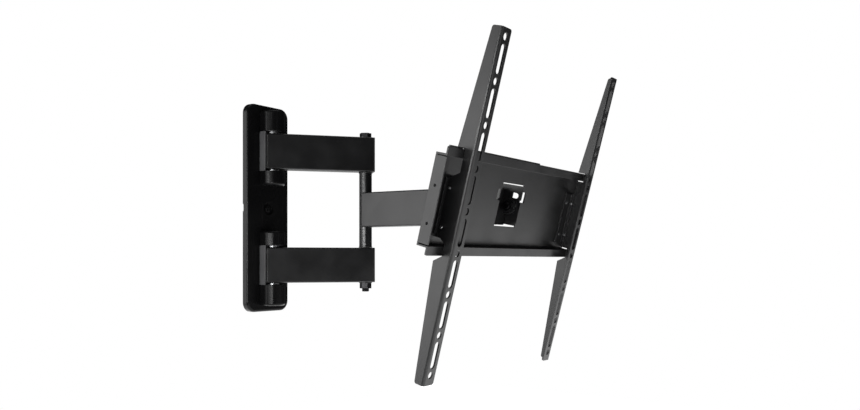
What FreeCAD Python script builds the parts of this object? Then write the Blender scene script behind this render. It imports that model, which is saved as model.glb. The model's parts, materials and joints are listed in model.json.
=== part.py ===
import FreeCAD, Part
import math
import os

os.makedirs("parts", exist_ok=True)
V = FreeCAD.Vector

# Frame: origin at the centre of the wall plate's back face, X along the wall, Z up, the room is on -Y.
X_AXIS = V(1, 0, 0)
Y_AXIS = V(0, 1, 0)
Z_AXIS = V(0, 0, 1)
ORIGIN = V(0, 0, 0)
HALF_TURN = 180
EPS = 1.0                     # cutters overshoot by this much
FREE = 0.3                    # gap between faces that don't touch
RUN_GAP = 0.05                # radial clearance of a turning fit
EDGE_R = 0.5                  # small edge break

# Fasteners
BOLT_R = 5.0
HEX_AF = 15.0
HEAD_H = 5.6
NUT_H = 8.0
NUT_CHAMFER = 1.2
THREAD_OUT = 4.6              # bolt end showing past its nut
BUSH_WALL = 2.2

# Wall plate and its cover
PLATE_W = 70.0
PLATE_H = 280.0
PLATE_T = 3.0
PLATE_R = 11.0
SCREW_R = 3.5
SCREW_X = 26.0                # half the screw pattern's width
SCREW_Z = 122.0               # half the screw pattern's height
COVER_W = 77.0
COVER_H = 291.5
COVER_D = 10.0
COVER_R = 14.0
COVER_WALL = 1.6
COVER_EDGE_R = 3.0
NOTCH_H = 10.0                # level mark in the cover's left edge
NOTCH_W = 1.2
RECESS_R = 9.0                # round recess at the middle of the cover
RECESS_D = 3.0
COVER_SCREW_R = 2.0
COVER_SCREW_HEAD_R = 4.5
COVER_SCREW_HEAD_H = 2.2

# Wall hinge
PIVOT_Y = -20.0
ARM_Z = 80.0                  # height of each inner arm's middle above and below the centre
ARM_H = 50.0
ARM_T = 20.0
ARM_WALL = 2.0
ARM_EDGE_R = 1.8
LUG_GAP = 27.7                # from the arm's middle to each lug
LUG_T = 4.0
LUG_R = 14.4
STOP_X = 14.6                 # inner face of the stop plate
STOP_T = 1.8
STOP_TIP = 0.5                # how far it reaches past the pivot's centre
COLLAR_R = 8.0
COLLAR_T = 2.4
CAP_R = 16.5
CAP_WALL = 1.8
CAP_EDGE_R = 3.0
CAP_OUT_END = 137.0           # far end of the outer caps, above and below the centre
CAP_IN_END = 32.3             # far end of the inner caps

# Arms, seen from above; angles are from straight out of the wall towards +X
INNER_ANGLE = 50.8
INNER_L = 132.0
ARM_BACK = 10.0               # arm length behind the wall pivot
ARM_FRONT = 12.0              # arm length past the elbow
END_CAP_T = 1.5
OUTER_ANGLE = 7.4
OUTER_L = 188.2
ELBOW_TUBE_R = 9.15
SPACER_T = 1.2
SPACER_R = 9.8
ELBOW_WASHER_R = 9.5
ELBOW_WASHER_T = 1.0
SWIVEL_TUBE_R = 11.0
SWIVEL_HALF = 20.8            # half the swivel tube's length; the arm's end is cut down to match
SWIVEL_NOTCH = 18.0           # length of that cut, so that the yoke's lugs can turn

# Swivel head
SWIVEL_TO_TILT = 26.0         # tilt axis ahead of the swivel axis
TILT = 15.0                   # the head leans its top forward by this much
YOKE_T = 3.0
YOKE_W = 52.0
YOKE_LUG_GAP = 22.3           # from the middle to each lug
YOKE_LUG_R = 14.0
YOKE_WEB = 14.0               # web's back face ahead of the swivel axis
YOKE_EAR_H = 20.0
YOKE_EAR_TIP = 8.0            # ear length past the tilt axis
TILT_BOLT_R = 4.0
TILT_HEX_AF = 13.0
TILT_HEAD_H = 5.0
TILT_NUT_H = 5.0
TILT_WASHER_R = 8.5
SWIVEL_WASHER_T = 1.2

# Tray; distances are measured forward of the tilt axis and up the leaning face
FACE = 42.5                   # the strips' front plane
SHEET = 2.0
TRAY_HALF = 181.5
TRAY_BACK = 12.6
TRAY_FRONT = 28.2             # front of the lips and of the end walls
TRAY_TOP = 53.6               # outside of the pan's top wall, above the tilt axis
TRAY_BOTTOM = -54.4
LIP_H = 8.8
END_WALL_GAP = 1.4            # open corner between an end wall and the pan's long walls
WINDOW_HALF = 27.3
WINDOW_TOP = 31.2
WINDOW_BOTTOM = -26.1
EAR_TOP = 29.8
EAR_BOTTOM = -24.5
EAR_BACK = 19.0               # ear's rear end, behind the tilt axis
EAR_CORNER = 2.0
EAR_FALL = 2.0                # ear's edges drop by this much towards its rear end
BEND_SLOT_OUT = 6.6           # slot in the tray's floor outside each ear
BEND_SLOT_IN = 1.0            # how far that slot bites into the ear's bend
BEND_NICK_H = 2.6             # small nick at the slot's lower end, cut into the ear
BEND_NICK_IN = 0.6            # and how far it goes past the floor
BEND_SLOT_TOP = 22.0
BEND_SLOT_BOTTOM = 7.8
D_HOLE_R = 3.6
D_HOLE_L = 9.4
D_HOLE_FRONT = 9.0
D_HOLE_UP = 15.4
SIDE_HOLE_R = 1.8
SIDE_HOLES = (16.5, -27.5)
LOCK_START = -176.0           # lock bar's left end, from the tray's middle
LOCK_END = 34.5
LOCK_OVER = 1.6               # how far the lock bar shows above the lip
LOCK_NOTCH = 0.8              # clearance each side of a strip's web

# Strips
STRIP_LEFT_X = -139.5         # the strips' hole lines, from the tray's middle
STRIP_RIGHT_X = 160.5
STRIP_DROP = 6.7              # middle hole below the tray's middle
STRIP_UP = 209.8              # strip's ends from its middle hole
STRIP_DOWN = 213.0
STRIP_T = 2.2
HOLE_PITCH = 50.0
HOLE_COUNT = 9
HOLE_R = 4.4
SLOT_HALF = 17.0
HOLE_TO_WEB = 10.6            # hole line to the web's outer face
HOLE_TO_EDGE = 9.6            # hole line to the flange's free edge
BEND_R = 3.4
WEB_END_D = 13.6              # web depth at the strip's ends
WEB_MID_D = 24.6              # web depth next to the tray
WEB_CUT_D = 13.8              # web depth where it is cut back to clear the lips
STRIP_CORNER = 3.0
CUT_UP = 62.9                 # the web is cut back between these heights
CUT_DOWN = -63.6
CUT_SLANT = 8.0
TONGUE_HALF = 33.0
TONGUE_ROOT = 42.0
FIXING_HEIGHTS = (15.8, -31.2)
RIVET_DEPTH = 23.5
RIVET_R = 1.3
RIVET_HEAD_R = 1.9
RIVET_HEAD_H = 0.8
PILOT_R = 1.5
PILOT_SINK = 1.4              # how deep the pilot holes are drilled into the web's inside
PILOT_DEPTH = 18.6
TAB_T = 2.0
TAB_TOP = 30.0
TAB_BOTTOM = -44.0
TAB_FOOT = 18.0               # the tab's foot, along the tray's floor
TAB_FOOT_FIXING = 12.5        # foot rivet from the web's inside
GUIDE_OUT = 7.0               # guide rib's middle, outside the web
GUIDE_T = 1.2
GUIDE_H = 2.6
GUIDE_TOP = 27.5
GUIDE_BOTTOM = -38.5


def box(x0, x1, y0, y1, z0, z1):
    return Part.makeBox(x1 - x0, y1 - y0, z1 - z0, V(x0, y0, z0))


def rod(radius, height, base, axis=Z_AXIS):
    return Part.makeCylinder(radius, height, base, axis)


def fuse(shapes):
    solid = shapes[0]
    for extra in shapes[1:]:
        solid = solid.fuse(extra)
    return solid.removeSplitter()


def prism(points, direction):
    wire = Part.makePolygon([V(*p) for p in points] + [V(*points[0])])
    return Part.Face(wire).extrude(direction)


def edges_along(shape, axis, keep=lambda box_: True):
    """Straight edges of a shape that run along an axis and whose bounding box passes keep."""
    found = []
    for edge in shape.Edges:
        if len(edge.Vertexes) != 2 or not isinstance(edge.Curve, Part.Line):
            continue
        run = edge.Vertexes[1].Point - edge.Vertexes[0].Point
        if abs(run.normalize().dot(axis)) > 0.999 and keep(edge.BoundBox):
            found.append(edge)
    return found


def rounded_block(x0, x1, y0, y1, z0, z1, radius, axis):
    block = box(x0, x1, y0, y1, z0, z1)
    return block.makeFillet(radius, edges_along(block, axis))


def hexagon(across_flats, height, base, axis):
    """Hexagon prism with its two outer rims turned to a cone, as on a nut or bolt head."""
    corner_r = across_flats / math.sqrt(3)
    points = [(corner_r * math.cos(math.radians(60 * i)), corner_r * math.sin(math.radians(60 * i)), 0)
              for i in range(6)]
    solid = prism(points, V(0, 0, height))
    reach = corner_r + NUT_CHAMFER
    cone = Part.makeCone(reach + height, reach - NUT_CHAMFER, height + NUT_CHAMFER, V(0, 0, 0))
    solid = solid.common(cone)
    return point_along(solid, base, axis)


def point_along(solid, base, axis):
    turned = solid.copy()
    turned.Placement = FreeCAD.Placement(base, FreeCAD.Rotation(Z_AXIS, axis))
    return turned


def bolt(radius, length, base, across_flats, head_h, axis):
    """Bolt with its head's underside at base and its shank running along axis."""
    shank = rod(radius, length, ORIGIN)
    shank = shank.makeChamfer(EDGE_R, [e for e in shank.Edges if e.BoundBox.ZMin > length - EDGE_R])
    shank = point_along(shank, base, axis)
    return fuse([shank, hexagon(across_flats, head_h, base, axis * -1)])


def nut(radius, base, across_flats, height, axis):
    return hexagon(across_flats, height, base, axis).cut(
        rod(radius, height + 2 * EPS, base - axis * EPS, axis))


def ring(outer_r, inner_r, height, base, axis=Z_AXIS):
    return rod(outer_r, height, base, axis).cut(
        rod(inner_r, height + 2 * EPS, base - axis * EPS, axis))


def write(name, shape):
    shape = shape.removeSplitter() if len(shape.Solids) == 1 else shape
    shape.exportStep("parts/%s.step" % name)


def group(solids):
    return Part.makeCompound(solids)


def in_plan(shape, base, angle):
    """Place a shape built along +X so that it runs from base at an angle off straight out."""
    placed = shape.copy()
    placed.rotate(ORIGIN, Z_AXIS, angle - 90)
    placed.translate(base)
    return placed


def along(base, angle, length):
    turn = math.radians(angle)
    return base + V(length * math.sin(turn), -length * math.cos(turn), 0)


PIVOT = V(0, PIVOT_Y, 0)
ELBOW = along(PIVOT, INNER_ANGLE, INNER_L)
SWIVEL = along(ELBOW, OUTER_ANGLE, OUTER_L)
TILT_POINT = SWIVEL + V(0, -SWIVEL_TO_TILT, 0)


# Wall side
def wall_plate():
    plate = rounded_block(-PLATE_W / 2, PLATE_W / 2, -PLATE_T, 0,
                          -PLATE_H / 2, PLATE_H / 2, PLATE_R, Y_AXIS)
    for sx in (-1, 1):
        for sz in (-1, 1):
            plate = plate.cut(rod(SCREW_R, PLATE_T + 2 * EPS,
                                  V(sx * SCREW_X, EPS, sz * SCREW_Z), V(0, -1, 0)))
    return plate.cut(rod(COVER_SCREW_R, PLATE_T / 2, V(0, -PLATE_T, 0), Y_AXIS))


def d_block(radius, y_back, z0, z1):
    """Block with a half-round front, centred on the wall pivot."""
    straight = box(-radius, radius, PIVOT_Y, y_back, z0, z1)
    front = Part.makeCylinder(radius, z1 - z0, V(0, PIVOT_Y, z0), Z_AXIS, HALF_TURN)
    front.rotate(V(0, PIVOT_Y, z0), Z_AXIS, HALF_TURN)
    return fuse([straight, front])


def lug_spans():
    """Heights of the four lugs, from the bottom up."""
    spans = []
    for middle in (-ARM_Z, ARM_Z):
        spans.append((middle - LUG_GAP - LUG_T, middle - LUG_GAP))
        spans.append((middle + LUG_GAP, middle + LUG_GAP + LUG_T))
    return spans


def pivot_lugs():
    lugs = []
    for z0, z1 in lug_spans():
        lug = d_block(LUG_R, -PLATE_T, z0, z1)
        lugs.append(lug.cut(rod(BOLT_R, LUG_T + 2 * EPS, V(0, PIVOT_Y, z0 - EPS))))
    return group(lugs)


def stop_plates():
    plates = []
    for middle in (-ARM_Z, ARM_Z):
        plate = box(-STOP_X - STOP_T, -STOP_X, PIVOT_Y - STOP_TIP, -PLATE_T,
                    middle - LUG_GAP, middle + LUG_GAP)
        foot = box(-STOP_X - STOP_T, -STOP_X + STOP_T, -PLATE_T - STOP_T, -PLATE_T,
                   middle - LUG_GAP, middle + LUG_GAP)
        plates.append(fuse([plate, foot]))
    return group(plates)


def wall_cover():
    cover = rounded_block(-COVER_W / 2, COVER_W / 2, -COVER_D, 0,
                          -COVER_H / 2, COVER_H / 2, COVER_R, Y_AXIS)
    front = [e for e in cover.Edges if e.BoundBox.YMax < -COVER_D + EDGE_R]
    cover = cover.makeFillet(COVER_EDGE_R, front)
    inside = rounded_block(-COVER_W / 2 + COVER_WALL, COVER_W / 2 - COVER_WALL, -COVER_D + COVER_WALL, EPS,
                           -COVER_H / 2 + COVER_WALL, COVER_H / 2 - COVER_WALL,
                           COVER_R - COVER_WALL, Y_AXIS)
    cover = cover.cut(inside)
    opening_x = STOP_X + STOP_T + FREE
    for middle in (-ARM_Z, ARM_Z):
        reach = LUG_GAP + LUG_T + FREE
        cover = cover.cut(box(-opening_x, opening_x, -COVER_D - EPS, EPS, middle - reach, middle + reach))
    cup = rod(RECESS_R + COVER_WALL, RECESS_D + COVER_WALL, V(0, -COVER_D + COVER_WALL / 2, 0), Y_AXIS)
    cover = fuse([cover, cup])
    cover = cover.cut(rod(RECESS_R, RECESS_D + EPS, V(0, -COVER_D - EPS, 0), Y_AXIS))
    cover = cover.cut(rod(COVER_SCREW_R, COVER_D, V(0, -COVER_D, 0), Y_AXIS))
    left = -COVER_W / 2
    return cover.cut(box(left - EPS, left + NOTCH_W, -COVER_D / 2, EPS, -NOTCH_H / 2, NOTCH_H / 2))


def cover_screw():
    seat = -COVER_D + RECESS_D
    head = rod(COVER_SCREW_HEAD_R, COVER_SCREW_HEAD_H, V(0, seat - COVER_SCREW_HEAD_H, 0), Y_AXIS)
    front = [e for e in head.Edges if e.BoundBox.YMax < seat - COVER_SCREW_HEAD_H + RUN_GAP]
    head = head.makeFillet(EDGE_R, front)
    slot_w = COVER_SCREW_HEAD_R / 4
    for turned in (0, 90):
        slot = box(-COVER_SCREW_HEAD_R * 0.6, COVER_SCREW_HEAD_R * 0.6, seat - COVER_SCREW_HEAD_H - EPS,
                   seat - COVER_SCREW_HEAD_H / 2, -slot_w / 2, slot_w / 2)
        slot.rotate(ORIGIN, Y_AXIS, turned)
        head = head.cut(slot)
    return fuse([head, rod(COVER_SCREW_R, -seat - PLATE_T / 2, V(0, seat, 0), Y_AXIS)])


def pivot_cap(z_open, z_far):
    """Hollow D-shaped cap: open towards the arm, closed and rounded at its far end."""
    z0, z1 = min(z_open, z_far), max(z_open, z_far)
    cap = d_block(CAP_R, -COVER_D, z0, z1)
    rim = [e for e in cap.Edges
           if abs(e.BoundBox.ZMin - z_far) < 0.01 and abs(e.BoundBox.ZMax - z_far) < 0.01
           and e.BoundBox.YMin < -COVER_D - EPS]
    cap = cap.makeFillet(CAP_EDGE_R, rim)
    step = CAP_WALL if z_far > z_open else -CAP_WALL
    inner_far = z_far - step
    inner_open = z_open - step
    z0, z1 = min(inner_open, inner_far), max(inner_open, inner_far)
    hollow = d_block(CAP_R - CAP_WALL, -COVER_D + EPS, z0, z1)
    return cap.cut(hollow)


def pivot_caps(z_far, above):
    """The two caps that end at z_far from the centre; above is +1 when they lie beyond their arm."""
    caps = []
    for side in (-1, 1):
        z_open = side * (ARM_Z + above * (LUG_GAP + FREE))
        caps.append(pivot_cap(z_open, side * z_far))
    return group(caps)


def pivot_bolts():
    bolts = []
    for middle in (-ARM_Z, ARM_Z):
        top = V(0, PIVOT_Y, middle + LUG_GAP + LUG_T)
        length = 2 * (LUG_GAP + LUG_T) + NUT_H + THREAD_OUT / 2
        bolts.append(bolt(BOLT_R, length, top, HEX_AF, HEAD_H, V(0, 0, -1)))
    return group(bolts)


def pivot_nuts():
    return group([nut(BOLT_R, V(0, PIVOT_Y, middle - LUG_GAP - LUG_T), HEX_AF, NUT_H, V(0, 0, -1))
                  for middle in (-ARM_Z, ARM_Z)])


def pivot_collars():
    rings = []
    for middle in (-ARM_Z, ARM_Z):
        rings.append(ring(COLLAR_R, BOLT_R, COLLAR_T, V(0, PIVOT_Y, middle + LUG_GAP - COLLAR_T)))
        rings.append(ring(COLLAR_R, BOLT_R, COLLAR_T, V(0, PIVOT_Y, middle - LUG_GAP)))
    return group(rings)


# Arms, built along +X from their first pivot and then turned into place
def arm_tube(x0, x1):
    tube = rounded_block(x0, x1, -ARM_T / 2, ARM_T / 2, -ARM_H / 2, ARM_H / 2, ARM_EDGE_R, X_AXIS)
    return tube.cut(box(x0 - EPS, x1 + EPS, -ARM_T / 2 + ARM_WALL, ARM_T / 2 - ARM_WALL,
                        -ARM_H / 2 + ARM_WALL, ARM_H / 2 - ARM_WALL))


def bush_r():
    return BOLT_R + RUN_GAP + BUSH_WALL


def inner_arm():
    tube = arm_tube(-ARM_BACK + END_CAP_T, INNER_L + ARM_FRONT - END_CAP_T)
    for x in (0, INNER_L):
        tube = tube.cut(rod(bush_r(), ARM_H + 2 * EPS, V(x, 0, -ARM_H / 2 - EPS)))
    return tube


def at_inner(shape, middle):
    return in_plan(shape, PIVOT + V(0, 0, middle), INNER_ANGLE)


def arm_bushes():
    bushes = []
    for middle in (-ARM_Z, ARM_Z):
        for x, bore in ((0, BOLT_R + RUN_GAP), (INNER_L, BOLT_R)):
            bushes.append(at_inner(ring(bush_r(), bore, ARM_H, V(x, 0, -ARM_H / 2)), middle))
    return group(bushes)


def arm_end_caps():
    caps = []
    for middle in (-ARM_Z, ARM_Z):
        for x0, x1, plug0, plug1 in (
                (-ARM_BACK, -ARM_BACK + END_CAP_T, -ARM_BACK + END_CAP_T, -ARM_BACK + 2 * END_CAP_T),
                (INNER_L + ARM_FRONT - END_CAP_T, INNER_L + ARM_FRONT,
                 INNER_L + ARM_FRONT - 3 * END_CAP_T, INNER_L + ARM_FRONT - END_CAP_T)):
            face = rounded_block(x0, x1, -ARM_T / 2, ARM_T / 2, -ARM_H / 2, ARM_H / 2, ARM_EDGE_R, X_AXIS)
            half_t = ARM_T / 2 - ARM_WALL
            half_h = ARM_H / 2 - ARM_WALL
            plug = box(plug0, plug1, -half_t, half_t, -half_h, half_h)
            plug = plug.cut(rod(bush_r(), ARM_H, V(0, 0, -ARM_H / 2)))
            caps.append(at_inner(fuse([face, plug]), middle))
    return group(caps)


def elbow_stack():
    """Heights at the elbow: arm's outer face, washer's outer face."""
    outer = ARM_Z + ARM_H / 2
    return outer, outer + ELBOW_WASHER_T


def elbow_bolt():
    outer, seat = elbow_stack()
    length = 2 * seat + NUT_H + THREAD_OUT
    return bolt(BOLT_R, length, ELBOW + V(0, 0, seat), HEX_AF, HEAD_H, V(0, 0, -1))


def elbow_nut():
    outer, seat = elbow_stack()
    return nut(BOLT_R, ELBOW + V(0, 0, -seat), HEX_AF, NUT_H, V(0, 0, -1))


def elbow_washers():
    outer, seat = elbow_stack()
    return group([ring(ELBOW_WASHER_R, BOLT_R, ELBOW_WASHER_T, ELBOW + V(0, 0, z))
                  for z in (outer, -seat)])


def elbow_inner_height():
    return ARM_Z - ARM_H / 2


def elbow_tube():
    half = elbow_inner_height() - SPACER_T - 2 * FREE
    return ring(ELBOW_TUBE_R, BOLT_R + RUN_GAP, 2 * half, ELBOW + V(0, 0, -half))


def elbow_spacers():
    top = elbow_inner_height() - SPACER_T - FREE
    return group([ring(SPACER_R, BOLT_R + RUN_GAP, SPACER_T + FREE, ELBOW + V(0, 0, z))
                  for z in (top - FREE, -top - SPACER_T)])


def outer_arm():
    tube = arm_tube(0, OUTER_L)
    for x, radius in ((0, ELBOW_TUBE_R), (OUTER_L, SWIVEL_TUBE_R)):
        tube = tube.cut(rod(radius, ARM_H + 2 * EPS, V(x, 0, -ARM_H / 2 - EPS)))
    for z0, z1 in ((SWIVEL_HALF, ARM_H), (-ARM_H, -SWIVEL_HALF)):
        tube = tube.cut(box(OUTER_L - SWIVEL_NOTCH, OUTER_L + EPS, -ARM_T, ARM_T, z0, z1))
    return in_plan(tube, ELBOW, OUTER_ANGLE)


def swivel_tube():
    return ring(SWIVEL_TUBE_R, BOLT_R + RUN_GAP, 2 * SWIVEL_HALF, SWIVEL + V(0, 0, -SWIVEL_HALF))


# Swivel head, built about the tilt point with the room on -Y
def yoke():
    half_w = YOKE_W / 2
    web_y = SWIVEL_TO_TILT - YOKE_WEB          # web's back face, measured back from the tilt axis
    lug_top = YOKE_LUG_GAP + YOKE_T
    web = box(-half_w, half_w, web_y - YOKE_T, web_y, -lug_top, lug_top)
    web = web.makeFillet(BEND_R, edges_along(web, Y_AXIS))
    parts = [web]
    for z0 in (YOKE_LUG_GAP, -lug_top):
        lug = box(-YOKE_LUG_R, YOKE_LUG_R, web_y - YOKE_T, SWIVEL_TO_TILT, z0, z0 + YOKE_T)
        parts.append(fuse([lug, rod(YOKE_LUG_R, YOKE_T, V(0, SWIVEL_TO_TILT, z0))]))
    for side in (-1, 1):
        x0, x1 = sorted((side * half_w, side * (half_w - YOKE_T)))
        ear = box(x0, x1, 0, web_y, -YOKE_EAR_H / 2, YOKE_EAR_H / 2)
        tip = rod(YOKE_EAR_H / 2, YOKE_T, V(x0, 0, 0), X_AXIS)
        tip = tip.common(box(x0, x1, -YOKE_EAR_TIP, YOKE_EAR_H, -YOKE_EAR_H, YOKE_EAR_H))
        parts.append(fuse([ear, tip]))
    solid = fuse(parts)
    solid = solid.cut(rod(BOLT_R, 2 * lug_top + 2 * EPS, V(0, SWIVEL_TO_TILT, -lug_top - EPS)))
    return solid.cut(rod(TILT_BOLT_R, YOKE_W + 2 * EPS, V(-half_w - EPS, 0, 0), X_AXIS))


def swivel_bolt():
    top = YOKE_LUG_GAP + YOKE_T
    return bolt(BOLT_R, 2 * top + NUT_H + THREAD_OUT / 2, V(0, SWIVEL_TO_TILT, top), HEX_AF, HEAD_H,
                V(0, 0, -1))


def swivel_nut():
    return nut(BOLT_R, V(0, SWIVEL_TO_TILT, -YOKE_LUG_GAP - YOKE_T), HEX_AF, NUT_H, V(0, 0, -1))


def swivel_washers():
    return group([ring(SWIVEL_TUBE_R, BOLT_R, SWIVEL_WASHER_T, V(0, SWIVEL_TO_TILT, z))
                  for z in (YOKE_LUG_GAP - SWIVEL_WASHER_T, -YOKE_LUG_GAP)])


def tilt_bolts():
    """Short bolts put in from outside, through the tray's ear and then the yoke's ear."""
    seat = WINDOW_HALF + SHEET + FREE
    length = seat - (YOKE_W / 2 - YOKE_T) + TILT_NUT_H + EDGE_R
    return group([bolt(TILT_BOLT_R, length, V(side * seat, 0, 0), TILT_HEX_AF, TILT_HEAD_H, V(-side, 0, 0))
                  for side in (-1, 1)])


def tilt_nuts():
    inner = YOKE_W / 2 - YOKE_T
    return group([nut(TILT_BOLT_R, V(side * inner, 0, 0), TILT_HEX_AF, TILT_NUT_H, V(-side, 0, 0))
                  for side in (-1, 1)])


def tilt_washers():
    gap = WINDOW_HALF - YOKE_W / 2 - FREE
    return group([ring(TILT_WASHER_R, TILT_BOLT_R, gap, V(side * YOKE_W / 2, 0, 0), V(side, 0, 0))
                  for side in (-1, 1)])


# TV interface, built upright about the tilt axis and then leaned forward
def tray_ear(side):
    """Ear bent back from the window's edge, with the tilt hole and a D hole."""
    x0, x1 = sorted((side * WINDOW_HALF, side * (WINDOW_HALF + SHEET)))
    root = -TRAY_BACK - SHEET
    ear = prism([(x0, root, EAR_BOTTOM), (x0, EAR_BACK, EAR_BOTTOM - EAR_FALL),
                 (x0, EAR_BACK, EAR_TOP - EAR_FALL), (x0, root, EAR_TOP)], V(SHEET, 0, 0))
    ear = ear.makeFillet(EAR_CORNER, edges_along(ear, X_AXIS, lambda b: b.YMin > EAR_BACK - EPS))
    ear = ear.cut(rod(TILT_BOLT_R + RUN_GAP, SHEET + 2 * EPS, V(x0 - EPS, 0, 0), X_AXIS))
    rear = D_HOLE_L - D_HOLE_FRONT
    round_at = -D_HOLE_FRONT + D_HOLE_R
    hole = box(x0 - EPS, x1 + EPS, round_at, rear, D_HOLE_UP - D_HOLE_R, D_HOLE_UP + D_HOLE_R)
    hole = hole.fuse(rod(D_HOLE_R, SHEET + 2 * EPS, V(x0 - EPS, round_at, D_HOLE_UP), X_AXIS))
    return ear.cut(hole)


def tray():
    """Wide pan that opens forward, with front lips, end walls, a window and two ears."""
    front, back = -TRAY_FRONT, -TRAY_BACK
    floor = box(-TRAY_HALF, TRAY_HALF, back - SHEET, back, TRAY_BOTTOM, TRAY_TOP)
    window = box(-WINDOW_HALF, WINDOW_HALF, back - SHEET - EPS, back + EPS, WINDOW_BOTTOM, WINDOW_TOP)
    parts = [floor.cut(window)]
    for side, edge in ((1, TRAY_TOP), (-1, TRAY_BOTTOM)):
        z0, z1 = sorted((edge, edge - side * SHEET))
        parts.append(box(-TRAY_HALF, TRAY_HALF, front, back, z0, z1))
        z0, z1 = sorted((edge - side * SHEET, edge + side * LIP_H))
        lip = box(-TRAY_HALF, TRAY_HALF, front, front + SHEET, z0, z1)
        corners = edges_along(lip, Y_AXIS, lambda b: abs(b.ZMin) > abs(edge) + EPS)
        parts.append(lip.makeFillet(SHEET, corners))
    shy = SHEET + END_WALL_GAP
    for side in (-1, 1):
        x0, x1 = sorted((side * TRAY_HALF, side * (TRAY_HALF - SHEET)))
        parts.append(box(x0, x1, front, back, TRAY_BOTTOM + shy, TRAY_TOP - shy))
        parts.append(tray_ear(side))
    solid = fuse(parts)
    slot_x = WINDOW_HALF + SHEET + BEND_SLOT_OUT
    for side in (-1, 1):
        x0, x1 = sorted((side * (WINDOW_HALF + SHEET), side * slot_x))
        solid = solid.cut(box(x0, x1, back - SHEET - EPS, back + EPS, BEND_SLOT_BOTTOM, BEND_SLOT_TOP))
        x0, x1 = sorted((side * (WINDOW_HALF - EPS), side * slot_x))
        for depth, top in ((BEND_SLOT_IN, BEND_SLOT_TOP),
                           (SHEET + BEND_NICK_IN, BEND_SLOT_BOTTOM + BEND_NICK_H)):
            solid = solid.cut(box(x0, x1, back - SHEET - EPS, back - SHEET + depth, BEND_SLOT_BOTTOM, top))
    for z in SIDE_HOLES:
        for x in (-TRAY_HALF - EPS, TRAY_HALF - SHEET - EPS):
            solid = solid.cut(rod(SIDE_HOLE_R, SHEET + 2 * EPS, V(x, (front + back) / 2, z), X_AXIS))
    for x_line, turn in strip_lines():
        for z in FIXING_HEIGHTS:
            x = x_line - turn * (HOLE_TO_WEB - STRIP_T - TAB_FOOT_FIXING)
            solid = solid.cut(rod(RIVET_R, SHEET + 2 * EPS, V(x, back - SHEET - EPS, z), Y_AXIS))
    return solid


def lock_bar():
    """Flat bar behind the top lip, notched where a strip's web passes."""
    top = TRAY_TOP + LIP_H
    y_front = -TRAY_FRONT + SHEET
    bar = box(LOCK_START, LOCK_END, y_front, y_front + SHEET, TRAY_TOP, top + LOCK_OVER)
    web_x = STRIP_LEFT_X - HOLE_TO_WEB
    return bar.cut(box(web_x - LOCK_NOTCH, web_x + STRIP_T + LOCK_NOTCH,
                       y_front - EPS, y_front + SHEET + EPS, top - SHEET, top + LOCK_OVER + EPS))


def strip_lines():
    """Hole line of each strip, with +1 where its web is on the -X side and -1 on the +X side."""
    return ((STRIP_LEFT_X, 1), (STRIP_RIGHT_X, -1))


def strip_outline():
    """Side view of a strip's web as (depth, height) pairs; heights are from the tray's middle."""
    end_up, end_down = STRIP_UP - STRIP_DROP, -STRIP_DOWN - STRIP_DROP
    rear = FACE - TRAY_BACK - SHEET
    root_up, root_down = TONGUE_ROOT - STRIP_DROP, -TONGUE_ROOT - STRIP_DROP
    return [(0, end_down), (WEB_END_D, end_down), (WEB_MID_D, CUT_DOWN - CUT_SLANT), (WEB_CUT_D, CUT_DOWN),
            (WEB_CUT_D, root_down), (rear, root_down + TONGUE_ROOT - TONGUE_HALF),
            (rear, root_up - TONGUE_ROOT + TONGUE_HALF), (WEB_CUT_D, root_up), (WEB_CUT_D, CUT_UP),
            (WEB_MID_D, CUT_UP), (WEB_END_D, end_up), (0, end_up)]


def strip_slot(x_line, z_middle, y0, depth):
    straight = SLOT_HALF - HOLE_R
    slot = box(x_line - HOLE_R, x_line + HOLE_R, y0, y0 + depth, z_middle - straight, z_middle + straight)
    for z in (z_middle - straight, z_middle + straight):
        slot = slot.fuse(rod(HOLE_R, depth, V(x_line, y0, z), Y_AXIS))
    return slot


def strip(x_line, turn):
    """L-section strip with its web cut to a long taper; see strip_lines for turn."""
    y_face = -FACE
    outer_x = x_line - turn * HOLE_TO_WEB
    inner_x = outer_x + turn * STRIP_T
    edge_x = x_line + turn * HOLE_TO_EDGE
    end_up, end_down = STRIP_UP - STRIP_DROP, -STRIP_DOWN - STRIP_DROP
    web = prism([(outer_x, y_face + d, z) for d, z in strip_outline()], V(inner_x - outer_x, 0, 0))
    x0, x1 = sorted((outer_x, edge_x))
    flange = box(x0, x1, y_face, y_face + STRIP_T, end_down, end_up)
    corners = edges_along(flange, Y_AXIS, lambda b: abs(b.XMin - edge_x) < RUN_GAP)
    flange = flange.makeFillet(STRIP_CORNER, corners)
    solid = fuse([web, flange])
    for x, y, radius in ((outer_x, y_face, BEND_R), (inner_x, y_face + STRIP_T, BEND_R - STRIP_T)):
        solid = solid.makeFillet(radius, edges_along(
            solid, Z_AXIS, lambda b: abs(b.XMin - x) < RUN_GAP and abs(b.YMin - y) < RUN_GAP))
    solid = solid.makeFillet(STRIP_CORNER, edges_along(
        solid, X_AXIS, lambda b: abs(b.YMin - y_face - WEB_END_D) < RUN_GAP))
    y0, depth = y_face - EPS, BEND_R + 2 * EPS
    for i in range(HOLE_COUNT):
        z = (i - (HOLE_COUNT - 1) / 2) * HOLE_PITCH - STRIP_DROP
        solid = solid.cut(rod(HOLE_R, depth, V(x_line, y0, z), Y_AXIS))
        if i < HOLE_COUNT - 1:
            solid = solid.cut(strip_slot(x_line, z + HOLE_PITCH / 2, y0, depth))
    for z in FIXING_HEIGHTS:
        through = V(min(outer_x, inner_x) - EPS, y_face + RIVET_DEPTH, z)
        solid = solid.cut(rod(RIVET_R, STRIP_T + 2 * EPS, through, X_AXIS))
        blind = V(inner_x, y_face + PILOT_DEPTH, z)
        solid = solid.cut(rod(PILOT_R, PILOT_SINK, blind, X_AXIS * -turn))
    return solid


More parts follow.
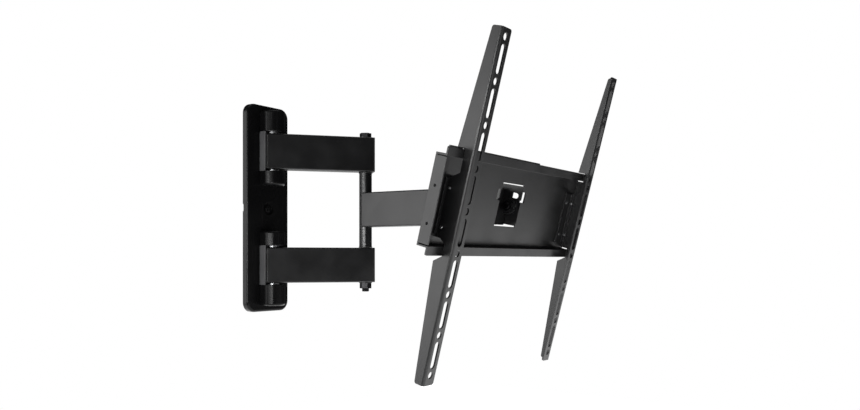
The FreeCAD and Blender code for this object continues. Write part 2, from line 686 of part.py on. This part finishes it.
def strip_tabs():
    """Angle plates inside the strips: one leg against the tongue, the other on the tray's floor."""
    tabs = []
    floor_y = -TRAY_BACK - SHEET
    front = -FACE + RIVET_DEPTH - 2 * RIVET_R
    for x_line, turn in strip_lines():
        near = x_line - turn * (HOLE_TO_WEB - STRIP_T)
        x0, x1 = sorted((near, near + turn * TAB_T))
        leg = box(x0, x1, front, floor_y, TAB_BOTTOM, TAB_TOP)
        leg = leg.makeFillet(TAB_T, edges_along(leg, X_AXIS, lambda b: abs(b.YMin - front) < RUN_GAP))
        x0, x1 = sorted((near, near + turn * TAB_FOOT))
        foot = box(x0, x1, floor_y - TAB_T, floor_y, TAB_BOTTOM, TAB_TOP)
        tab = fuse([leg, foot])
        for z in FIXING_HEIGHTS:
            tab = tab.cut(rod(RIVET_R, STRIP_T + 2 * EPS, V(min(near, near + turn * TAB_T) - EPS,
                                                            -FACE + RIVET_DEPTH, z), X_AXIS))
            tab = tab.cut(rod(RIVET_R, TAB_T + 2 * EPS, V(near + turn * TAB_FOOT_FIXING,
                                                          floor_y - TAB_T - EPS, z), Y_AXIS))
        tabs.append(tab)
    return group(tabs)


def rivet(base, way, grip):
    """Rivet with its outer head's underside at base, running against way through the grip."""
    solids = [rod(RIVET_R, grip, base, way * -1)]
    for seat, out in ((base, way), (base - way * grip, way * -1)):
        solids.append(rod(RIVET_HEAD_R, RIVET_HEAD_H / 2, seat, out))
        rim = seat + out * (RIVET_HEAD_H / 2)
        solids.append(Part.makeCone(RIVET_HEAD_R, RIVET_R, RIVET_HEAD_H / 2, rim, out))
    return fuse(solids)


def strip_rivets():
    rivets = []
    for x_line, turn in strip_lines():
        outer_x = x_line - turn * HOLE_TO_WEB
        foot_x = outer_x + turn * (STRIP_T + TAB_FOOT_FIXING)
        for z in FIXING_HEIGHTS:
            rivets.append(rivet(V(outer_x, -FACE + RIVET_DEPTH, z), V(-turn, 0, 0), STRIP_T + TAB_T))
            rivets.append(rivet(V(foot_x, -TRAY_BACK - SHEET - TAB_T, z), V(0, -1, 0), SHEET + TAB_T))
    return group(rivets)


def strip_guides():
    """Low ribs on the tray's floor, just outside the strips' tongues."""
    floor_y = -TRAY_BACK - SHEET
    ribs = []
    for x_line, turn in strip_lines():
        x = x_line - turn * (HOLE_TO_WEB + GUIDE_OUT)
        ribs.append(box(x - GUIDE_T / 2, x + GUIDE_T / 2, floor_y - GUIDE_H, floor_y,
                        GUIDE_BOTTOM, GUIDE_TOP))
    return group(ribs)


def on_yoke(shape):
    placed = shape.copy()
    placed.translate(TILT_POINT)
    return placed


def on_face(shape):
    placed = shape.copy()
    placed.rotate(ORIGIN, X_AXIS, TILT)
    placed.translate(TILT_POINT)
    return placed


write("wall_plate", wall_plate())
write("pivot_lugs", pivot_lugs())
write("stop_plates", stop_plates())
write("wall_cover", wall_cover())
write("cover_screw", cover_screw())
write("outer_pivot_caps", pivot_caps(CAP_OUT_END, 1))
write("inner_pivot_caps", pivot_caps(CAP_IN_END, -1))
write("pivot_bolts", pivot_bolts())
write("pivot_nuts", pivot_nuts())
write("pivot_collars", pivot_collars())
write("upper_arm", at_inner(inner_arm(), ARM_Z))
write("lower_arm", at_inner(inner_arm(), -ARM_Z))
write("arm_bushes", arm_bushes())
write("arm_end_caps", arm_end_caps())
write("elbow_bolt", elbow_bolt())
write("elbow_nut", elbow_nut())
write("elbow_washers", elbow_washers())
write("outer_arm", outer_arm())
write("elbow_tube", elbow_tube())
write("elbow_spacers", elbow_spacers())
write("swivel_tube", swivel_tube())
write("yoke", on_yoke(yoke()))
write("swivel_bolt", on_yoke(swivel_bolt()))
write("swivel_nut", on_yoke(swivel_nut()))
write("swivel_washers", on_yoke(swivel_washers()))
write("tilt_bolts", on_yoke(tilt_bolts()))
write("tilt_nuts", on_yoke(tilt_nuts()))
write("tilt_washers", on_yoke(tilt_washers()))
write("tray", on_face(tray()))
write("lock_bar", on_face(lock_bar()))
write("left_strip", on_face(strip(STRIP_LEFT_X, 1)))
write("right_strip", on_face(strip(STRIP_RIGHT_X, -1)))
write("strip_tabs", on_face(strip_tabs()))
write("strip_guides", on_face(strip_guides()))
write("strip_rivets", on_face(strip_rivets()))
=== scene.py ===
import json
import math

import bpy
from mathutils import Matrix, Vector

# ---------------------------------------------------------------- frame
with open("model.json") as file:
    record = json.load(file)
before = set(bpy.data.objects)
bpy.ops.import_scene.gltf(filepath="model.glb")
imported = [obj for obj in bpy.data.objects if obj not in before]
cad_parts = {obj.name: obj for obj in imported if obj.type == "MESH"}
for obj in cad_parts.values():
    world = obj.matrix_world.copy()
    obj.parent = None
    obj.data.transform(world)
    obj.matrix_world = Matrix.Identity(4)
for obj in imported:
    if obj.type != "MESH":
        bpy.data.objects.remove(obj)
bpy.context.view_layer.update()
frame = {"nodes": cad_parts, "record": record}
nodes = frame["nodes"]
scene = bpy.context.scene
scene.view_settings.view_transform = "Standard"

# ---------------------------------------------------------------- camera
CAMERA_AT = Vector((-0.7758, -0.8551, -0.0746))
CAMERA_HEADING = math.radians(-54.1)      # from straight at the wall, turned to the right
CAMERA_LENS = 33.075
CAMERA_SHIFT_Y = 0.0654
SENSOR_WIDTH = 36.0
CLIP_END = 50.0

camera_data = bpy.data.cameras.new("camera")
camera_data.lens = CAMERA_LENS
camera_data.sensor_width = SENSOR_WIDTH
camera_data.shift_y = CAMERA_SHIFT_Y
camera_data.clip_end = CLIP_END
camera = bpy.data.objects.new("camera", camera_data)
camera.location = CAMERA_AT
camera.rotation_euler = (math.radians(90), 0, CAMERA_HEADING)
scene.collection.objects.link(camera)
scene.camera = camera


# ---------------------------------------------------------------- materials
MIX_FIRST, MIX_SECOND, MIX_RESULT = 6, 7, 2   # a Mix node's colour sockets
BEVEL_SAMPLES = 6
FLAT_DOT, EDGE_DOT = 0.98, 0.85   # how well two normals agree on a flat face and on an edge
NOISE_LOW, NOISE_HIGH = 0.3, 0.7  # noise values between which a mix or a gloss runs its whole range


class Nodes:
    """A material with its Principled shader, and short calls for the nodes that feed it."""

    def __init__(self, name):
        self.material = bpy.data.materials.new(name)
        self.material.use_nodes = True
        self.tree = self.material.node_tree
        self.shader = self.tree.nodes["Principled BSDF"]
        self.place = self.add("ShaderNodeTexCoord").outputs["Object"]

    def add(self, kind, **values):
        node = self.tree.nodes.new(kind)
        for key, value in values.items():
            if key in node.inputs:
                node.inputs[key].default_value = value
            else:
                setattr(node, key, value)
        return node

    def link(self, source, target):
        self.tree.links.new(source, target)

    def noise(self, scale, detail=3.0, stretch=None):
        """Noise of the given scale per metre; stretch squeezes it along x, y and z."""
        noise = self.add("ShaderNodeTexNoise", Scale=scale, Detail=detail)
        place = self.place
        if stretch:
            mapping = self.add("ShaderNodeMapping", Scale=stretch)
            self.link(place, mapping.inputs["Vector"])
            place = mapping.outputs["Vector"]
        self.link(place, noise.inputs["Vector"])
        return noise.outputs["Fac"]

    def spread(self, value, low, high, to_low, to_high):
        """Value mapped from low..high to to_low..to_high."""
        ramp = self.add("ShaderNodeMapRange")
        limits = {"From Min": low, "From Max": high, "To Min": to_low, "To Max": to_high}
        for key, number in limits.items():
            ramp.inputs[key].default_value = number
        self.link(value, ramp.inputs["Value"])
        return ramp.outputs["Result"]

    def product(self, first, second):
        node = self.add("ShaderNodeMath", operation="MULTIPLY")
        self.link(first, node.inputs[0])
        self.link(second, node.inputs[1])
        return node.outputs["Value"]

    def mix(self, factor, first, second):
        """Colour mixed by factor; each colour is a tuple or a socket."""
        node = self.add("ShaderNodeMix", data_type="RGBA")
        self.link(factor, node.inputs["Factor"])
        for socket, colour in ((node.inputs[MIX_FIRST], first), (node.inputs[MIX_SECOND], second)):
            if isinstance(colour, tuple):
                socket.default_value = (*colour, 1)
            else:
                self.link(colour, socket)
        return node.outputs[MIX_RESULT]

    def edges(self, radius):
        """0 on flat faces, rising to 1 on corners and edges tighter than radius."""
        bevel = self.add("ShaderNodeBevel", samples=BEVEL_SAMPLES, Radius=radius)
        geometry = self.add("ShaderNodeNewGeometry")
        dot = self.add("ShaderNodeVectorMath", operation="DOT_PRODUCT")
        self.link(bevel.outputs["Normal"], dot.inputs[0])
        self.link(geometry.outputs["Normal"], dot.inputs[1])
        return self.spread(dot.outputs["Value"], FLAT_DOT, EDGE_DOT, 0.0, 1.0)

    def bump(self, *layers, edge_radius=0.0):
        """Bump from (height, distance) pairs, over rounded edges when edge_radius is given."""
        normal = None
        if edge_radius:
            bevel = self.add("ShaderNodeBevel", samples=BEVEL_SAMPLES, Radius=edge_radius)
            normal = bevel.outputs["Normal"]
        for height, distance in layers:
            bump = self.add("ShaderNodeBump", Strength=1.0, Distance=distance)
            self.link(height, bump.inputs["Height"])
            if normal:
                self.link(normal, bump.inputs["Normal"])
            normal = bump.outputs["Normal"]
        self.link(normal, self.shader.inputs["Normal"])


def powder_coat(name, low, high, roughness, peel=0.00003):
    """Satin powder coat: orange peel, cloudy gloss, rubbed edges and a little dust."""
    m = Nodes(name)
    m.shader.inputs["Specular IOR Level"].default_value = 0.5
    cloud = m.noise(28.0, 4.0)
    rubs = m.product(m.edges(0.0006), m.spread(m.noise(320.0, 5.0), 0.42, 0.62, 0.0, 1.0))
    coat = m.mix(m.spread(cloud, NOISE_LOW, NOISE_HIGH, 0.0, 1.0), low, high)
    dust = m.spread(m.noise(2600.0, 2.0), 0.70, 0.76, 0.0, 0.35)
    coat = m.mix(dust, coat, (0.035, 0.035, 0.036))
    coat = m.mix(m.spread(rubs, 0.0, 1.0, 0.0, 0.55), coat, (0.06, 0.06, 0.062))
    m.link(coat, m.shader.inputs["Base Color"])
    gloss = m.spread(cloud, NOISE_LOW, NOISE_HIGH, roughness - 0.04, roughness + 0.05)
    m.link(gloss, m.shader.inputs["Roughness"])
    m.bump((m.noise(520.0, 2.0), peel), (m.noise(2200.0, 2.0), peel / 4), edge_radius=0.0004)
    return m.material


def gloss_plastic():
    """Glossy black moulding: faint flow waves, hairline scratches and dust."""
    m = Nodes("gloss_black_plastic")
    m.shader.inputs["Specular IOR Level"].default_value = 0.13
    cloud = m.noise(14.0, 3.0)
    scratch = m.spread(m.noise(240.0, 4.0, (1.0, 1.0, 0.05)), 0.66, 0.72, 0.0, 1.0)
    dust = m.spread(m.noise(3000.0, 2.0), 0.71, 0.77, 0.0, 0.3)
    colour = m.mix(m.spread(cloud, NOISE_LOW, NOISE_HIGH, 0.0, 1.0),
                   (0.0028, 0.0028, 0.003), (0.0045, 0.0045, 0.0047))
    m.link(m.mix(dust, colour, (0.03, 0.03, 0.03)), m.shader.inputs["Base Color"])
    gloss = m.add("ShaderNodeMath", operation="ADD")
    m.link(m.spread(cloud, NOISE_LOW, NOISE_HIGH, 0.22, 0.28), gloss.inputs[0])
    m.link(m.spread(scratch, 0.0, 1.0, 0.0, 0.16), gloss.inputs[1])
    m.link(gloss.outputs["Value"], m.shader.inputs["Roughness"])
    m.bump((m.noise(60.0, 2.0), 0.00004), edge_radius=0.0005)
    return m.material


def grained_plastic(name, low, high, roughness, grain):
    """Moulded nylon or matte plastic with a fine spark-eroded grain."""
    m = Nodes(name)
    cloud = m.noise(60.0, 4.0)
    m.link(m.mix(cloud, low, high), m.shader.inputs["Base Color"])
    gloss = m.spread(cloud, NOISE_LOW, NOISE_HIGH, roughness - 0.06, roughness + 0.06)
    m.link(gloss, m.shader.inputs["Roughness"])
    m.bump((m.noise(1400.0, 3.0), grain), edge_radius=0.0004)
    return m.material


THREAD_PITCH = 0.0015


def plated_steel(name, low, high, roughness, stain, thread_below=None):
    """Plated steel: drawn lines, cloudy plating and dull spots, with a thread below a height."""
    m = Nodes(name)
    m.shader.inputs["Metallic"].default_value = 1.0
    cloud = m.noise(90.0, 5.0)
    lines = m.noise(700.0, 3.0, (1.0, 1.0, 0.08))
    colour = m.mix(m.spread(cloud, NOISE_LOW, NOISE_HIGH, 0.0, 1.0), low, high)
    spots = m.spread(m.noise(420.0, 5.0), 0.62, 0.70, 0.0, 0.6)
    m.link(m.mix(spots, colour, stain), m.shader.inputs["Base Color"])
    gloss = m.spread(lines, NOISE_LOW, NOISE_HIGH, roughness - 0.08, roughness + 0.1)
    m.link(gloss, m.shader.inputs["Roughness"])
    layers = [(lines, 0.000015)]
    if thread_below is not None:
        split = m.add("ShaderNodeSeparateXYZ")
        m.link(m.place, split.inputs["Vector"])
        turns = m.add("ShaderNodeMath", operation="PINGPONG")
        turns.inputs[1].default_value = THREAD_PITCH / 2
        m.link(split.outputs["Z"], turns.inputs[0])
        below = m.spread(split.outputs["Z"], thread_below, thread_below - THREAD_PITCH / 4, 0.0, 1.0)
        layers.append((m.product(turns.outputs["Value"], below), 1.0))
    m.bump(*layers, edge_radius=0.0003)
    return m.material


PAINT_BLACKS = ((0.0032, 0.0032, 0.0035), (0.0052, 0.0052, 0.0056))
FASTENER_BLACKS = ((0.014, 0.014, 0.015), (0.03, 0.03, 0.031))
FASTENER_STAIN = (0.05, 0.048, 0.045)
FASTENER_ROUGHNESS = 0.36
THREAD_TOP_Z = -0.1135         # the elbow bolt's thread starts here, just inside its nut's lower face

by_slot = {
    "black_paint": powder_coat("black_paint", *PAINT_BLACKS, 0.33),
    "gloss_black_plastic": gloss_plastic(),
    "matte_black_plastic": grained_plastic("matte_black_plastic", (0.005, 0.005, 0.005),
                                           (0.009, 0.009, 0.009), 0.46, 0.000012),
    "nylon": grained_plastic("nylon", (0.006, 0.006, 0.006), (0.012, 0.012, 0.012), 0.4, 0.000008),
    "zinc_steel": plated_steel("zinc_steel", (0.20, 0.205, 0.21), (0.30, 0.305, 0.31), 0.34,
                               (0.14, 0.14, 0.135)),
    "black_fastener": plated_steel("black_fastener", *FASTENER_BLACKS, FASTENER_ROUGHNESS,
                                   FASTENER_STAIN),
}
# The stop plates' coat is a lighter and duller copy of the black paint: painted light that stands in
# for the light which makes their faces grey.
# The round elbow tube's coat has a higher gloss and less orange peel.
# The elbow bolt is like the other black fasteners, with its thread added.
by_node = {
    "stop_plates": powder_coat("painted_light_black_paint", (0.06, 0.06, 0.062), (0.085, 0.085, 0.088), 0.5),
    "elbow_tube": powder_coat("smooth_black_paint", *PAINT_BLACKS, 0.28, peel=0.000008),
    "elbow_bolt": plated_steel("threaded_black_fastener", *FASTENER_BLACKS, FASTENER_ROUGHNESS,
                               FASTENER_STAIN, thread_below=THREAD_TOP_Z),
}
for part in frame["record"]["subparts"]:
    mesh = nodes[part["node"]].data
    mesh.materials.clear()
    mesh.materials.append(by_node.get(part["node"], by_slot[part["material_slot"]]))

# ---------------------------------------------------------------- room and light
FLOOR_Z = -1.1
FLOOR_X = (-1.6, 4.8)
FLOOR_Y = (-9.0, 3.0)
DARK_ROOM = (0.035, 0.035, 0.036, 1)   # what the object reflects
WHITE_BACKDROP = (1, 1, 1, 1)          # what the camera sees behind it
world = bpy.data.worlds.new("studio")
world.use_nodes = True
tree = world.node_tree
seen = tree.nodes.new("ShaderNodeLightPath").outputs["Is Camera Ray"]
shade = tree.nodes.new("ShaderNodeMix")
shade.data_type = "RGBA"
shade.inputs[MIX_FIRST].default_value = DARK_ROOM
shade.inputs[MIX_SECOND].default_value = WHITE_BACKDROP
tree.links.new(seen, shade.inputs["Factor"])
tree.links.new(shade.outputs[MIX_RESULT], tree.nodes["Background"].inputs["Color"])
scene.world = world

floor_mesh = bpy.data.meshes.new("floor")
corners = [(FLOOR_X[i], FLOOR_Y[j], FLOOR_Z) for i, j in ((0, 0), (1, 0), (1, 1), (0, 1))]
floor_mesh.from_pydata(corners, [], [(0, 1, 2, 3)])
floor = bpy.data.objects.new("floor", floor_mesh)
scene.collection.objects.link(floor)
floor_paint = Nodes("pale_floor")
floor_paint.link(floor_paint.mix(floor_paint.noise(0.6, 2.0), (0.93, 0.93, 0.93), (0.96, 0.96, 0.96)),
                 floor_paint.shader.inputs["Base Color"])
floor_paint.shader.inputs["Roughness"].default_value = 0.9
floor_paint.shader.inputs["Emission Color"].default_value = (1, 1, 1, 1)
floor_paint.shader.inputs["Emission Strength"].default_value = 1.6
floor_mesh.materials.append(floor_paint.material)


def soft_light(name, at, towards, width, height, radiance):
    """Rectangular soft light of the given radiance that isn't itself seen by the camera."""
    data = bpy.data.lights.new(name, "AREA")
    data.shape = "RECTANGLE"
    data.size, data.size_y = width, height
    data.energy = radiance * math.pi * width * height
    light = bpy.data.objects.new(name, data)
    light.location = at
    light.rotation_euler = (Vector(towards) - Vector(at)).to_track_quat("-Z", "Z").to_euler()
    light.visible_camera = False
    scene.collection.objects.link(light)


MIDDLE = (0.1, -0.2, 0.0)
soft_light("left_back", (-2.35, 2.05, 0.25), MIDDLE, 2.4, 2.6, 3.5)
soft_light("left_strip_light", (-2.6, -0.72, 0.0), MIDDLE, 0.13, 2.6, 42.0)
soft_light("overhead", (0.2, -0.3, 2.6), MIDDLE, 2.4, 2.4, 1.1)
